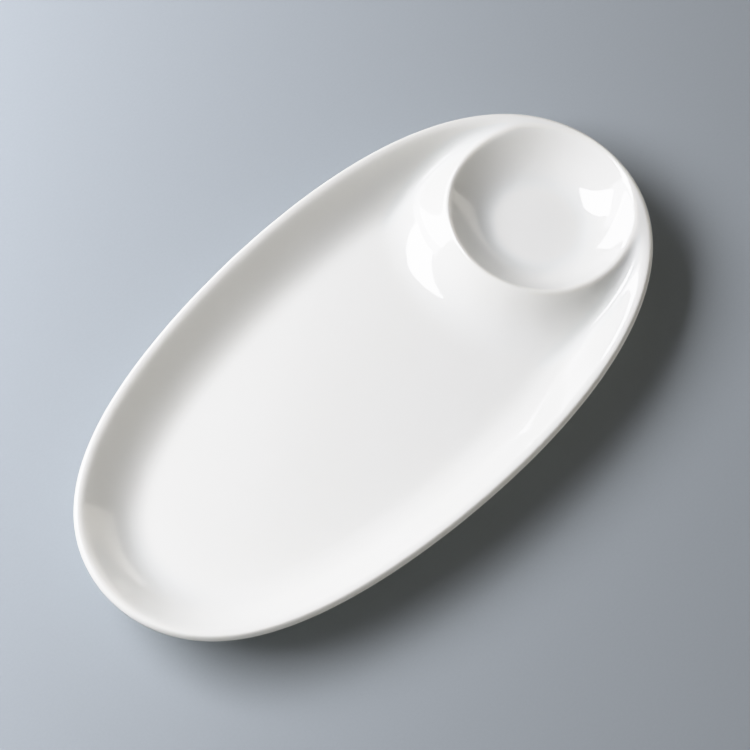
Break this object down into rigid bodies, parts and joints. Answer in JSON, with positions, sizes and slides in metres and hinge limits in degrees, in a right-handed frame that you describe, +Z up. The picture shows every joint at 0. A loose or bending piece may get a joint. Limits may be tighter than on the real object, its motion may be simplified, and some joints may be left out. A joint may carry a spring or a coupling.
{
  "type": "divided plate",
  "caption": "Oval white glazed porcelain plate: a shallow food tray with a round sauce well at one end, divided from the tray by a raised ridge.",
  "frame": {"origin": "on the table, under the middle of the oval", "axes": "+X along the length towards the sauce well, +Z up"},
  "size_m": [0.3, 0.1586, 0.0289],
  "materials": {
    "porcelain_body": "bare fired white clay, matt, seen only at the standing edge of the foot ring",
    "glaze_coat": "clear high-gloss glaze over white clay",
    "underside_glaze": "clear gloss glaze over white clay"
  },
  "bodies": {
    "root": {"porcelain_body": "porcelain_body", "glaze_coat": "glaze_coat", "underside_glaze": "underside_glaze"}
  },
  "joints": []
}
